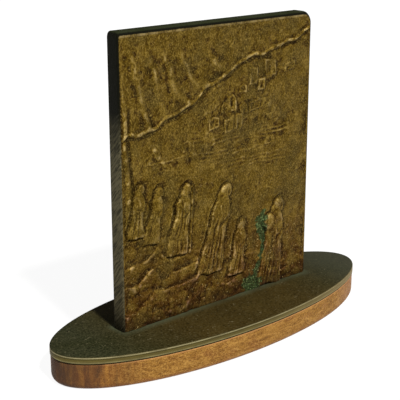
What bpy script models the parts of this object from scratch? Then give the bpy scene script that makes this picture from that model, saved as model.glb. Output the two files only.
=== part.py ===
"""Commemorative desk plaque: a cast bronze relief slab upright on an oval bronze plate and a wooden base."""

import math

import bmesh
import bpy
import numpy as np

# Gap between pieces that rest on each other
CLEARANCE = 0.0003

# Oval foot, seen from above
OVAL_LENGTH = 0.197
OVAL_WIDTH = 0.073
OVAL_STEPS = 96

# Wooden base
WOOD_THICKNESS = 0.013
WOOD_SETBACK = 0.0003
WOOD_FOOT_ROUNDING = 0.0035
WOOD_TOP_ROUNDING = 0.0004

# Bronze plate
PLATE_THICKNESS = 0.0035
PLATE_CHAMFER = 0.0004

# Bronze slab
SLAB_WIDTH = 0.124
SLAB_HEIGHT = 0.1415
SLAB_THICKNESS = 0.008
LEFT_CORNER_RADIUS = 0.0018
RIGHT_CORNER_RADIUS = 0.0055
SIDE_EDGE_ROUNDING = 0.001
TOP_EDGE_ROUNDING = 0.002
BACK_EDGE_ROUNDING = 0.0008

# Relief: how far each part of the picture stands out of the front plane or is cut into it
FIGURE_DEPTH = 0.0016
OUTLINE_CUT = 0.0011
LIP_HEIGHT = 0.0004
CORD_HEIGHT = 0.0008
CORD_WIDTH = 0.0009
HOUSE_DEPTH = 0.0006
RAY_DEPTH = 0.0006
FIELD_DEPTH = 0.0003
ROCK_DEPTH = 0.0015
HILL_DROP = 0.0003
ROLL_DEPTH = 0.0006
RELIEF_MARGIN = 0.0010

# Relief layout, as shares of the picture's width and height
RIDGE_START = 0.655
RIDGE_RISE = 0.315
GROUND_START = 0.33
GROUND_FALL = 0.30
FIELD_LEVELS = (0.49, 0.61)
FIELD_COUNT = 9

# Each walker's place across and up, height and lean as shares of the picture, its robe folds and its load
WALKERS = (
    (0.062, 0.325, 0.180, 0.08, 3, ""),
    (0.135, 0.290, 0.195, 0.17, 3, ""),
    (0.265, 0.225, 0.250, 0.16, 4, "staff"),
    (0.440, 0.120, 0.320, 0.22, 5, ""),
    (0.590, 0.085, 0.205, 0.10, 3, ""),
    (0.785, 0.002, 0.335, 0.10, 5, "sack"),
)

# Each terrace of houses: its left end, its level and how many houses stand on it
TERRACES = (
    (0.30, 0.575, 2),
    (0.43, 0.635, 3),
    (0.50, 0.700, 4),
    (0.60, 0.765, 3),
    (0.74, 0.815, 2),
)

# Mesh fineness
RELIEF_CELL = 0.0009
ARC_STEPS = 3
CORNER_STEPS = 6
SLAB_TRIANGLES = 8000

PLATE_BOTTOM = WOOD_THICKNESS + CLEARANCE
PLATE_TOP = PLATE_BOTTOM + PLATE_THICKNESS
SLAB_BOTTOM = PLATE_TOP + CLEARANCE
PICTURE_WIDTH = SLAB_WIDTH - 2 * SIDE_EDGE_ROUNDING
PICTURE_HEIGHT = SLAB_HEIGHT - TOP_EDGE_ROUNDING
LEFT_PICTURE_CORNER = LEFT_CORNER_RADIUS - SIDE_EDGE_ROUNDING
RIGHT_PICTURE_CORNER = RIGHT_CORNER_RADIUS - SIDE_EDGE_ROUNDING


def ease(value):
    """0 below 0, 1 above 1 and a smooth slope between."""
    t = np.clip(value, 0.0, 1.0)
    return t * t * (3.0 - 2.0 * t)


def bead(distance, width):
    """A rounded bump of height 1."""
    return np.exp(-(distance / width) ** 2)


def waver(x, z, size, seed):
    """Smooth uneven height from -1 to 1, with swells about one size across."""
    cells = 97
    table = np.random.default_rng(seed).uniform(-1.0, 1.0, (cells, cells))
    a = (0.81 * x + 0.59 * z) / size + 31.7
    b = (0.81 * z - 0.59 * x) / size + 31.3
    i, j = np.floor(a).astype(int), np.floor(b).astype(int)
    s, t = ease(a - i), ease(b - j)
    left, right = i % cells, (i + 1) % cells
    low, high = j % cells, (j + 1) % cells
    bottom = table[left, low] * (1.0 - s) + table[right, low] * s
    top = table[left, high] * (1.0 - s) + table[right, high] * s
    return bottom * (1.0 - t) + top * t


def cobbles(x, z, size, seed):
    """Domes from 0 to 1, packed side by side, each about one size across."""
    cells = 61
    table = np.random.default_rng(seed).uniform(0.0, 1.0, (cells, cells, 3))
    i, j = np.floor(x / size).astype(int), np.floor(z / size).astype(int)
    top = np.zeros_like(x)
    for di in (-1, 0, 1):
        for dj in (-1, 0, 1):
            draw = table[(i + di) % cells, (j + dj) % cells]
            away_x = x / size - i - di - 0.15 - 0.7 * draw[..., 0]
            away_z = z / size - j - dj - 0.15 - 0.7 * draw[..., 1]
            dome = np.sqrt(np.clip(1.0 - 1.3 * (away_x ** 2 + away_z ** 2), 0.0, 1.0))
            top = np.maximum(top, dome * (0.55 + 0.45 * draw[..., 2]))
    return top


def stroke(x, z, start, end, width):
    """A rounded bead of height 1 from start to end."""
    run = np.subtract(end, start)
    t = np.clip(((x - start[0]) * run[0] + (z - start[1]) * run[1]) / (run @ run), 0.0, 1.0)
    return bead(np.hypot(x - start[0] - t * run[0], z - start[1] - t * run[1]), width)


def ridge(u):
    """Share of the picture's height where the hill meets the sky."""
    humps = 0.017 * np.sin(9.0 * u + 2.6) + 0.006 * np.sin(31.0 * u + 1.0) + 0.003 * np.sin(67.0 * u)
    return RIDGE_START + RIDGE_RISE * u + humps


def ground(u):
    """Share of the picture's height where the rocky ground starts."""
    return GROUND_START - GROUND_FALL * u + 0.018 * np.sin(11.0 * u) + 0.006 * np.sin(37.0 * u)


def sky(x, z):
    """Rays that fan down from beyond the top left corner, and soft clouds between them."""
    u, v = x / PICTURE_WIDTH, z / PICTURE_HEIGHT
    angle = np.arctan2(x + 0.10 * PICTURE_WIDTH, 1.42 * PICTURE_HEIGHT - z)
    ray = np.cos(50.0 * angle + 3.0 * waver(x, z, 0.020, 5) + 0.8 * waver(x, z, 0.006, 7))
    fade = ease((1.0 - v) / 0.16) * (1.0 - 0.8 * ease((u - 0.40) / 0.35))
    rays = (0.5 + 0.5 * ray) ** 3 * fade * (0.85 + 0.6 * waver(x, z, 0.010, 6))
    clouds = 0.35 * waver(x, z, 0.017, 15) + 0.22 * waver(x, z, 0.0075, 16)
    return RAY_DEPTH * (rays + clouds)


def houses(x, z):
    """Box houses on the terraces, flat or gabled: walls raised at their edges, cut doors, scree between."""
    total = np.zeros_like(x)
    draw = np.random.default_rng(11)
    for left, level, count in TERRACES:
        place = left * PICTURE_WIDTH
        for _ in range(count):
            wide, tall = draw.uniform(0.034, 0.066, 2) * (PICTURE_WIDTH, 0.85 * PICTURE_HEIGHT)
            foot = (level + draw.uniform(-0.018, 0.018)) * PICTURE_HEIGHT
            middle, pitch, skew = place + wide / 2, draw.choice((0.0, 0.0, 0.55)), draw.uniform(-0.18, 0.18)
            level_z = z - skew * (x - middle)
            from_side = wide / 2 - np.abs(x - middle - 0.4 * skew * (z - foot))
            inward = np.minimum(from_side, foot + tall - pitch * np.abs(x - middle) - level_z)
            inward = np.minimum(inward, level_z - foot)
            wall = 0.55 * ease(inward / 0.0008 + 0.5) + 0.6 * bead(inward - 0.0003, 0.00045)
            door, sill = place + wide * draw.uniform(0.3, 0.7), foot + tall * draw.choice((0.0, 0.35))
            opening = stroke(x, z, (door, sill), (door, sill + 0.25 * tall), 0.00065)
            opening = 0.9 * opening * ease(inward / 0.0004 + 1.0)
            total = np.maximum(total, wall * draw.uniform(0.45, 1.0)) - opening
            place = place + wide * (1.0 + draw.uniform(0.1, 1.0))
    v = z / PICTURE_HEIGHT
    loose = ease(2.6 * waver(x, z, 0.010, 13) - 0.4) * ease((v - 0.52) / 0.05)
    scree = loose * cobbles(x, z, 0.0029, 14) ** 2
    return HOUSE_DEPTH * (np.maximum(total, scree) + np.minimum(total, 0.0))


def fields(x, z):
    """Long level strokes across the foot of the hill."""
    total = np.zeros_like(x)
    draw = np.random.default_rng(23)
    u = x / PICTURE_WIDTH
    for level in np.linspace(*FIELD_LEVELS, FIELD_COUNT):
        start, length = draw.uniform(0.10, 0.60), draw.uniform(0.25, 0.55)
        drift = draw.uniform(-0.012, 0.012) * (u - 0.5)
        wave = 0.0005 * np.sin(74.0 * level + 13.5 * u)
        line = bead(z - (level + drift) * PICTURE_HEIGHT - wave, 0.00045)
        total += line * ease((u - start) / 0.05) * ease((start + length - u) / 0.05) * draw.uniform(0.5, 1.0)
    return FIELD_DEPTH * total * ease(0.8 + 1.2 * waver(x, z, 0.014, 24))


def rocks(x, z):
    """Flat rocks and ledges below the walkers' path, rougher towards the foot."""
    v = z / PICTURE_HEIGHT
    over = v - ground(x / PICTURE_WIDTH)
    heap = 0.24 * cobbles(x, 1.45 * z, 0.0082, 31) ** 1.5 + 0.24 * cobbles(x, 1.25 * z, 0.0043, 32) ** 1.5
    creases = 0.22 * np.abs(waver(x, 1.5 * z, 0.0095, 33))
    rubble = 0.42 * cobbles(x, z, 0.0023, 34) * ease((0.11 - v) / 0.07)
    rise = (z + 0.0055 * waver(x, z, 0.0125, 36)) / 0.0088 % 1.0
    ledges = 0.50 * rise * ease((1.0 - rise) / 0.14) * ease(0.15 + 2.0 * waver(x, z, 0.0080, 35))
    low = ease(-over / 0.02)
    return ROCK_DEPTH * (low * (heap + ledges - creases - 0.16) + rubble + 0.22 * bead(over, 0.010))


def rolled_edge(x, z):
    """A raised roll of wax along the picture's left side, with a furrow beside it."""
    v = z / PICTURE_HEIGHT
    along = ease((v - 0.40) / 0.06) * ease((0.78 - v) / 0.08)
    swing = 0.0012 * np.sin(16.0 * v)
    return ROLL_DEPTH * along * (bead(x - 0.0022 - swing, 0.0013) - 1.1 * bead(x - 0.0050 - swing, 0.0010))


def walker(x, z, foot, tall, lean, folds, load):
    """A robed figure: what it covers, its raised form, and the cut and lip that set it off from the hill."""
    s = (z - foot[1]) / tall
    across = (x - foot[0]) / tall - lean * s
    taper = np.sqrt(np.clip((0.87 - s) / 0.13, 0.0, 1.0))
    back = (0.205 - 0.090 * ease(s / 0.65)) * taper
    front = (0.155 - 0.045 * ease(s / 0.50) + 0.028 * bead(s - 0.60, 0.08)) * taper
    ragged = 0.0004 * waver(x, z, 0.0030, 28)
    from_back, from_front = (across + back) * tall + ragged, (front - across) * tall
    above_hem = s + 0.030 * waver(x, 0.0 * z, 0.0034, 19) + 0.010
    standing = ease(above_hem / 0.04 + 0.5) * (s < 0.87)
    inside = ease(np.minimum(from_back, from_front) / 0.0008 + 0.4) * standing
    swell = 0.30 + 0.50 * ease((across + back) / (0.75 * (back + front) + 1e-6)) + 0.12 * ease(s / 0.8)
    robe = inside * (swell + 0.13 * waver(x, z, 0.0045, 17) + 0.05 * waver(x, z, 0.0022, 27))
    for fold in range(folds):
        share = (fold + 0.5) / folds
        hem = -0.190 + 0.33 * share + 0.010 * math.sin(7.0 * fold + 60.0 * tall)
        waist = -0.075 + 0.14 * share + 0.012 * math.sin(9.0 * fold + 40.0 * tall)
        top = 0.62 + 0.10 * math.sin(5.0 * fold + 90.0 * tall)
        line = across - hem - (waist - hem) * ease(s / 0.7) + 0.010 * waver(x, z, 0.0060, 20)
        reach = ease((top - s) / 0.12) * ease(0.70 + 0.8 * waver(x, z, 0.0075, 21))
        robe = robe + inside * reach * (0.16 * bead(line, 0.014) - 0.24 * bead(line - 0.025, 0.012))
    head_out = np.hypot((across - 0.030) / 0.080, (s - 0.905) / 0.092)
    head = 0.80 * np.sqrt(np.clip(1.0 - head_out ** 2, 0.0, 1.0)) ** 0.7
    hood = 0.20 * bead(across + 0.010, 0.030) * bead(s - 0.945, 0.035) * (head_out < 1.0)
    face = 0.30 * bead(across - 0.062, 0.020) * bead(s - 0.895, 0.030)
    veil_out = np.hypot((across + 0.006) / 0.078, (s - 0.820) / 0.130)
    neck = 0.62 * np.sqrt(np.clip(1.0 - veil_out ** 2, 0.0, 1.0))
    sleeve = stroke(across, s, (-0.015, 0.745), (0.030, 0.575), 0.034)
    forearm = stroke(across, s, (0.035, 0.570), (0.105, 0.640), 0.026)
    under_arm = stroke(across, s, (0.030, 0.520), (0.120, 0.600), 0.018)
    form = np.maximum(np.maximum(robe, head + hood - face), neck)
    form = np.maximum(form, np.maximum(0.98 * sleeve, 0.95 * forearm)) - 0.35 * under_arm * inside
    if load == "staff":
        form = np.maximum(form, 0.55 * stroke(across, s, (0.215, -0.02), (0.135, 0.93), 0.013))
    if load == "sack":
        out = np.hypot((across + 0.085) / 0.085, (s - 0.735) / 0.105)
        form = np.maximum(form, 0.95 * np.sqrt(np.clip(1.0 - out ** 2, 0.0, 1.0)))
        from_back = np.maximum(from_back, (1.0 - out) * 0.09 * tall)
    from_head = (np.minimum(head_out, veil_out) - 1.0) * 0.085 * tall
    upright = ease(s / 0.06 + 0.5) * ease((0.88 - s) / 0.05)
    broad = 0.00080 + 0.00025 * waver(x, z, 0.0040, 26)
    cut = upright * np.maximum(0.9 * bead(from_back + 0.0005, broad), 0.4 * bead(from_front + 0.0004, 0.0005))
    hem = (above_hem + 0.018) * tall
    under_hem = ease((across + 0.21) / 0.03) * ease((0.15 - across) / 0.05)
    cut = np.maximum(cut, 0.75 * bead(hem, 0.0005) * under_hem)
    behind = ease((0.045 - across) / 0.03) * ease((s - 0.80) / 0.04)
    cut = np.maximum(cut, 0.65 * bead(from_head - 0.0004, 0.0005) * behind)
    lip = upright * bead(from_back + 0.0020, 0.0007)
    lip = np.maximum(lip, 0.4 * bead(from_head - 0.0017, 0.0006) * behind)
    lip = lip * ease(0.55 + 0.9 * waver(x, z, 0.0050, 22))
    return FIGURE_DEPTH * form, OUTLINE_CUT * cut, LIP_HEIGHT * lip


def figures(x, z):
    """The walkers, who go down the slope towards the right."""
    form, cut, lip = np.zeros_like(x), np.zeros_like(x), np.zeros_like(x)
    for across, up, tall, lean, folds, load in WALKERS:
        foot = (across * PICTURE_WIDTH, up * PICTURE_HEIGHT)
        raised, groove, rim = walker(x, z, foot, tall * PICTURE_HEIGHT, lean, folds, load)
        form = np.maximum(form, raised)
        cut = np.maximum(cut, groove)
        lip = np.maximum(lip, rim)
    return form, cut, lip


def relief(x, z):
    """Height of the cast picture over the slab's front plane, from the picture's lower left corner."""
    bent_x = x + 0.0006 * waver(x, z, 0.0075, 1) + 0.0002 * waver(x, z, 0.0021, 9)
    bent_z = z + 0.0006 * waver(x, z, 0.0075, 2) + 0.0002 * waver(x, z, 0.0021, 10)
    over = bent_z - ridge(bent_x / PICTURE_WIDTH) * PICTURE_HEIGHT
    open_sky = ease(over / 0.002 + 0.5)
    cord = bead(over, CORD_WIDTH) * (0.45 + 0.80 * cobbles(x, z, 0.0034, 3))
    shadow = bead(over + 2.0 * CORD_WIDTH, CORD_WIDTH) * (0.65 + 0.45 * waver(x, z, 0.008, 4))
    swells = HILL_DROP * (1.3 * waver(x, z, 0.012, 8) + 0.6 * waver(x, z, 0.005, 18) - 1.0)
    hill = houses(bent_x, bent_z) + fields(bent_x, bent_z) + swells
    base = open_sky * sky(bent_x, bent_z) + (1.0 - open_sky) * hill + rocks(bent_x, bent_z)
    base = base + CORD_HEIGHT * (cord - 0.75 * shadow) + rolled_edge(x, z)
    form, cut, lip = figures(bent_x, bent_z)
    covered = ease(form / (0.30 * FIGURE_DEPTH))
    surface = base * (1.0 - 0.8 * covered) + form + (lip - cut) * (1.0 - 0.8 * covered)
    past_x = np.maximum(x - PICTURE_WIDTH + RIGHT_PICTURE_CORNER, 0.0)
    past_z = np.maximum(z - PICTURE_HEIGHT + RIGHT_PICTURE_CORNER, 0.0)
    from_edge = np.minimum(x, RIGHT_PICTURE_CORNER - np.hypot(past_x, past_z))
    return surface * ease(from_edge / RELIEF_MARGIN)


def material(name, colour, metallic, roughness):
    """A plain finish for one sub-part."""
    finish = bpy.data.materials.new(name)
    finish.use_nodes = True
    shader = finish.node_tree.nodes["Principled BSDF"]
    shader.inputs["Base Color"].default_value = (*colour, 1.0)
    shader.inputs["Metallic"].default_value = metallic
    shader.inputs["Roughness"].default_value = roughness
    return finish


def add_part(name, mesh_builder, finish):
    """Link a closed mesh as a named sub-part with its faces pointing out."""
    bmesh.ops.recalc_face_normals(mesh_builder, faces=mesh_builder.faces)
    mesh = bpy.data.meshes.new(name)
    mesh_builder.to_mesh(mesh)
    mesh_builder.free()
    mesh.shade_smooth()
    mesh.set_sharp_from_angle(angle=math.radians(35.0))
    part = bpy.data.objects.new(name, mesh)
    part.data.materials.append(finish)
    bpy.context.scene.collection.objects.link(part)
    return part


def oval_ring(builder, inset, height):
    """Vertices round the oval's outline, moved in by the inset at right angles to its edge."""
    ring = []
    half_length, half_width = OVAL_LENGTH / 2, OVAL_WIDTH / 2
    for step in range(OVAL_STEPS):
        turn = 2 * math.pi * step / OVAL_STEPS
        out_x, out_y = half_width * math.cos(turn), half_length * math.sin(turn)
        reach = math.hypot(out_x, out_y)
        x = half_length * math.cos(turn) - inset * out_x / reach
        y = half_width * math.sin(turn) - inset * out_y / reach
        ring.append(builder.verts.new((x, y, height)))
    return ring


def oval_part(name, profile, finish):
    """A closed oval board whose edge follows the profile of insets and heights, bottom to top."""
    builder = bmesh.new()
    rings = [oval_ring(builder, inset, height) for inset, height in profile]
    for low, high in zip(rings, rings[1:]):
        for step in range(OVAL_STEPS):
            following = (step + 1) % OVAL_STEPS
            builder.faces.new((low[step], low[following], high[following], high[step]))
    builder.faces.new(rings[0])
    builder.faces.new(rings[-1])
    return add_part(name, builder, finish)


def wood_profile():
    """Insets and heights up the wooden edge: rounded foot, upright side, eased top arris."""
    profile = []
    for step in range(ARC_STEPS + 1):
        turn = math.pi / 2 * step / ARC_STEPS
        inset = WOOD_SETBACK + WOOD_FOOT_ROUNDING * (1 - math.sin(turn))
        profile.append((inset, WOOD_FOOT_ROUNDING * (1 - math.cos(turn))))
    profile.append((WOOD_SETBACK, WOOD_THICKNESS - WOOD_TOP_ROUNDING))
    profile.append((WOOD_SETBACK + WOOD_TOP_ROUNDING, WOOD_THICKNESS))
    return profile


def half_width(z, corner):
    """From the picture's middle to its side at a height, where the corner above it rounds off."""
    over = max(z - PICTURE_HEIGHT + corner, 0.0)
    return PICTURE_WIDTH / 2 - corner + math.sqrt(max(corner ** 2 - over ** 2, 0.0))


def picture_grid():
    """Rows of (x, z) points over the picture, narrower where the top corners round off."""
    columns = round(PICTURE_WIDTH / RELIEF_CELL)
    straight = PICTURE_HEIGHT - RIGHT_PICTURE_CORNER
    levels = list(np.linspace(0.0, straight, round(straight / RELIEF_CELL) + 1))
    for turn in np.linspace(0.0, math.pi / 2, CORNER_STEPS + 1)[1:]:
        levels.append(straight + RIGHT_PICTURE_CORNER * math.sin(turn))
    rows = []
    for z in levels:
        left, right = half_width(z, LEFT_PICTURE_CORNER), half_width(z, RIGHT_PICTURE_CORNER)
        rows.append([(float(x), float(z)) for x in np.linspace(-left, right, columns + 1)])
    return rows


def way_out(x, z, at_side):
    """Direction out of the picture's outline at one of its points, none along the foot."""
    corner = RIGHT_PICTURE_CORNER if x > 0.0 else LEFT_PICTURE_CORNER
    past_x, past_z = abs(x) - PICTURE_WIDTH / 2 + corner, z - PICTURE_HEIGHT + corner
    if at_side and past_z <= 0.0:
        return math.copysign(1.0, x), 0.0
    if z <= 0.0:
        return 0.0, 0.0
    if past_x <= 0.0:
        return 0.0, 1.0
    reach = math.hypot(past_x, past_z)
    return math.copysign(past_x, x) / reach, past_z / reach


def rim_points(grid):
    """The grid's outline, anticlockwise from the lower left, with the way out at each point."""
    last_row, last_column = len(grid) - 1, len(grid[0]) - 1
    outline = [(0, column) for column in range(last_column + 1)]
    outline += [(row, last_column) for row in range(1, last_row + 1)]
    outline += [(last_row, column) for column in range(last_column - 1, -1, -1)]
    outline += [(row, 0) for row in range(last_row - 1, 0, -1)]
    return [(row, column, way_out(*grid[row][column], column in (0, last_column))) for row, column in outline]


def edge_ring(builder, grid, outline, turn, rounding_side, rounding_top, face_y, inward):
    """A loop round the slab's edge, turned down from the face by the given angle."""
    ring = []
    for row, column, (way_x, way_z) in outline:
        x, z = grid[row][column]
        out_x = SIDE_EDGE_ROUNDING + (math.sin(turn) - 1.0) * rounding_side
        out_z = TOP_EDGE_ROUNDING + (math.sin(turn) - 1.0) * rounding_top
        drop = rounding_side * way_x ** 2 + rounding_top * way_z ** 2
        y = face_y + inward * (1.0 - math.cos(turn)) * (drop or rounding_side)
        ring.append(builder.verts.new((x + way_x * out_x, y, SLAB_BOTTOM + z + way_z * out_z)))
    return ring


def relief_slab(finish):
    """The upright slab: the picture in front, rounded edges, a flat back."""
    builder = bmesh.new()
    grid = picture_grid()
    outline = rim_points(grid)
    flat = np.array(grid)
    depth = relief(flat[..., 0] + PICTURE_WIDTH / 2, flat[..., 1])
    front_y, back_y = -SLAB_THICKNESS / 2, SLAB_THICKNESS / 2
    back_inset = SIDE_EDGE_ROUNDING - BACK_EDGE_ROUNDING
    back_top = TOP_EDGE_ROUNDING - BACK_EDGE_ROUNDING

    faces = {"front": [], "back": []}
    for row, line in enumerate(grid):
        front, back = [], []
        for column, (x, z) in enumerate(line):
            front.append(builder.verts.new((x, front_y - depth[row][column], SLAB_BOTTOM + z)))
            wide_x = x * (1.0 + 2.0 * back_inset / PICTURE_WIDTH)
            tall_z = z * (1.0 + back_top / PICTURE_HEIGHT)
            back.append(builder.verts.new((wide_x, back_y, SLAB_BOTTOM + tall_z)))
        faces["front"].append(front)
        faces["back"].append(back)
    for side in faces.values():
        for low, high in zip(side, side[1:]):
            for column in range(len(low) - 1):
                builder.faces.new((low[column], low[column + 1], high[column + 1], high[column]))

    loops = [[faces["front"][row][column] for row, column, _ in outline]]
    side, top, back = SIDE_EDGE_ROUNDING, TOP_EDGE_ROUNDING, BACK_EDGE_ROUNDING
    for turn in np.linspace(0.0, math.pi / 2, ARC_STEPS + 1)[1:]:
        loops.append(edge_ring(builder, grid, outline, turn, side, top, front_y, 1.0))
    for turn in (math.pi / 2, math.pi / 4):
        loops.append(edge_ring(builder, grid, outline, turn, back, back, back_y, -1.0))
    loops.append([faces["back"][row][column] for row, column, _ in outline])
    for inner, outer in zip(loops, loops[1:]):
        for step in range(len(outline)):
            following = (step + 1) % len(outline)
            builder.faces.new((inner[step], inner[following], outer[following], outer[step]))

    part = add_part("relief_slab", builder, finish)
    thin = part.modifiers.new("fewer faces where it is flat", "DECIMATE")
    thin.ratio = SLAB_TRIANGLES / (2 * len(part.data.polygons))
    return part


def main():
    for thing in list(bpy.data.objects):
        bpy.data.objects.remove(thing)
    golden = material("golden bronze", (0.20, 0.135, 0.045), 0.9, 0.5)
    dark = material("dark bronze", (0.045, 0.045, 0.028), 0.8, 0.5)
    timber = material("tan wood", (0.42, 0.23, 0.09), 0.0, 0.55)

    plate_profile = (
        (0.0, PLATE_BOTTOM),
        (0.0, PLATE_TOP - PLATE_CHAMFER),
        (PLATE_CHAMFER, PLATE_TOP),
    )
    oval_part("wooden_base", wood_profile(), timber)
    oval_part("base_plate", plate_profile, dark)
    relief_slab(golden)


main()
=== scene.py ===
import math

import bmesh
import bpy
import numpy as np
from mathutils import Matrix, Vector


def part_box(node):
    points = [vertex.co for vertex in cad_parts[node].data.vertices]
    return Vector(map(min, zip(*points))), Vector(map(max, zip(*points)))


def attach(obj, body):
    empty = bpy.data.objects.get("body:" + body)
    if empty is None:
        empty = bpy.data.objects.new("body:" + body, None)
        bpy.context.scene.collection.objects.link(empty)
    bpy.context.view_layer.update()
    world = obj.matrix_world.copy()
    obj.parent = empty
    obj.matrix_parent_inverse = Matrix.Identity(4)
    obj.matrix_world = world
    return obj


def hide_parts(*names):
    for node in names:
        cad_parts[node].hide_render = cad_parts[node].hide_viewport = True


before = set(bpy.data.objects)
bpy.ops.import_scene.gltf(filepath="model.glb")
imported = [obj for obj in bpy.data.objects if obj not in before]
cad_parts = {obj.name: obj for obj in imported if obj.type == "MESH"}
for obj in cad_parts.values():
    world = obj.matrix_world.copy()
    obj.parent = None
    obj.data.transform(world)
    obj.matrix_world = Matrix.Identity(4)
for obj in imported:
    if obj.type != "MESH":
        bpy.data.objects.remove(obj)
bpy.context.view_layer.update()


# Wooden base
# An oval board of tan hardwood, sawn from one plank with its grain along the oval.
# Its side is sanded smooth, its foot is rounded over and its top edge is barely eased.

WOOD_LOW, WOOD_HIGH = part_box("wooden_base")
WOOD_FOOT_ROUNDING = 0.0035
WOOD_TOP_ROUNDING = 0.0004
OVAL_STEPS = 320

# Colours of the long grain and of the end grain, from dark bands to light ones; the end grain also serves as
# painted shade on the left end
STREAK_COLOURS = (
    (0.32, (0.125, 0.052, 0.008)),
    (0.50, (0.235, 0.110, 0.018)),
    (0.66, (0.335, 0.172, 0.036)),
)
END_GRAIN_AND_SHADE_COLOURS = (
    (0.36, (0.050, 0.019, 0.009)),
    (0.50, (0.110, 0.036, 0.010)),
    (0.64, (0.235, 0.092, 0.016)),
)
RED_BLOTCH = (0.170, 0.062, 0.014)
DARK_PORE = (0.095, 0.036, 0.007)
LIGHT_PORE = (0.43, 0.250, 0.070)
RED_FOOT = (0.210, 0.070, 0.022)
LIGHT_ARRIS = (0.44, 0.220, 0.075)
PAINTED_SHADE_AT_TIP = (0.050, 0.026, 0.014)
PINK_TAN = (0.295, 0.140, 0.070)

# Where along the oval each tint starts, and where it is full: end grain with painted shade at the left end,
# more painted shade at its tip, a pink stain at the right end
LEFT_GRAIN_AND_SHADE = (-0.064, -0.088)
LEFT_TIP = (-0.083, -0.0955)
RIGHT_STAIN = (0.060, 0.097)


def oval_board(name, low, high, profile):
    """A closed oval board between two corners; the profile gives insets and heights from bottom to top."""
    half_length, half_width = (high.x - low.x) / 2, (high.y - low.y) / 2
    builder = bmesh.new()
    rings = []
    for inset, height in profile:
        ring = []
        for step in range(OVAL_STEPS):
            turn = 2 * math.pi * step / OVAL_STEPS
            out = Vector((half_width * math.cos(turn), half_length * math.sin(turn), 0.0)).normalized()
            edge = Vector((half_length * math.cos(turn), half_width * math.sin(turn), low.z + height))
            ring.append(builder.verts.new(edge - inset * out))
        rings.append(ring)
    for lower, upper in zip(rings, rings[1:]):
        for step in range(OVAL_STEPS):
            following = (step + 1) % OVAL_STEPS
            builder.faces.new((lower[step], lower[following], upper[following], upper[step]))
    builder.faces.new(reversed(rings[0]))
    builder.faces.new(rings[-1])
    mesh = bpy.data.meshes.new(name)
    builder.to_mesh(mesh)
    builder.free()
    mesh.shade_smooth()
    mesh.set_sharp_from_angle(angle=math.radians(40))
    board = bpy.data.objects.new(name, mesh)
    bpy.context.collection.objects.link(board)
    return board


def rounded(radius, steps):
    """Insets and rises of a quarter round, from flat underneath to upright."""
    turns = [math.pi / 2 * step / steps for step in range(steps + 1)]
    return [(radius * (1 - math.sin(turn)), radius * (1 - math.cos(turn))) for turn in turns]


def new_finish(name):
    """A material with its node tree and its Principled shader."""
    finish = bpy.data.materials.new(name)
    finish.use_nodes = True
    return finish, finish.node_tree, finish.node_tree.nodes["Principled BSDF"]


def add(tree, kind, inputs=(), **settings):
    """A node with its settings and its inputs, which are values or other nodes' outputs."""
    node = tree.nodes.new(kind)
    for key, value in settings.items():
        setattr(node, key, value)
    for key, value in dict(inputs).items():
        if isinstance(value, bpy.types.NodeSocket):
            tree.links.new(value, node.inputs[key])
        else:
            node.inputs[key].default_value = value
    return node


def place_on(tree, stretch=(1.0, 1.0, 1.0), turn=(0.0, 0.0, 0.0)):
    """Object coordinates in metres for a pattern that is turned and drawn out along its own axes."""
    coordinates = add(tree, "ShaderNodeTexCoord").outputs["Object"]
    inputs = {"Vector": coordinates, "Scale": stretch, "Rotation": turn}
    return add(tree, "ShaderNodeMapping", inputs, vector_type="TEXTURE").outputs[0]


def noise(tree, place, size, detail=3.0, rough=0.55, twist=0.0):
    """Cloudy pattern from 0 to 1 whose patches are about one size across, in metres."""
    inputs = {"Vector": place, "Scale": 1.0 / size, "Detail": detail, "Roughness": rough, "Distortion": twist}
    return add(tree, "ShaderNodeTexNoise", inputs).outputs["Fac"]


def ramp(tree, value, *stops):
    """Grey levels or colours at places from 0 to 1."""
    node = add(tree, "ShaderNodeValToRGB", {"Fac": value})
    elements = node.color_ramp.elements
    while len(elements) < len(stops):
        elements.new(0.5)
    for element, (place, level) in zip(elements, stops):
        element.position = place
        element.color = (level, level, level, 1.0) if isinstance(level, float) else (*level, 1.0)
    return node.outputs["Color"]


def mix(tree, factor, first, second, blend="MIX"):
    """Blend two colours."""
    node = add(tree, "ShaderNodeMix", data_type="RGBA", blend_type=blend)
    for slot, value in ((0, factor), (6, first), (7, second)):
        if isinstance(value, bpy.types.NodeSocket):
            tree.links.new(value, node.inputs[slot])
        elif slot == 0:
            node.inputs[slot].default_value = value
        else:
            node.inputs[slot].default_value = (*value, 1.0)
    return node.outputs[2]


def math_node(tree, operation, first, second=0.0):
    """One arithmetic step."""
    return add(tree, "ShaderNodeMath", {0: first, 1: second}, operation=operation).outputs[0]


def fade(tree, value, start, end, most=1.0):
    """0 up to the start value, rising to the most at the end value, level beyond it."""
    return add(tree, "ShaderNodeMapRange", {0: value, 1: start, 2: end, 3: 0.0, 4: most}).outputs[0]


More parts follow.
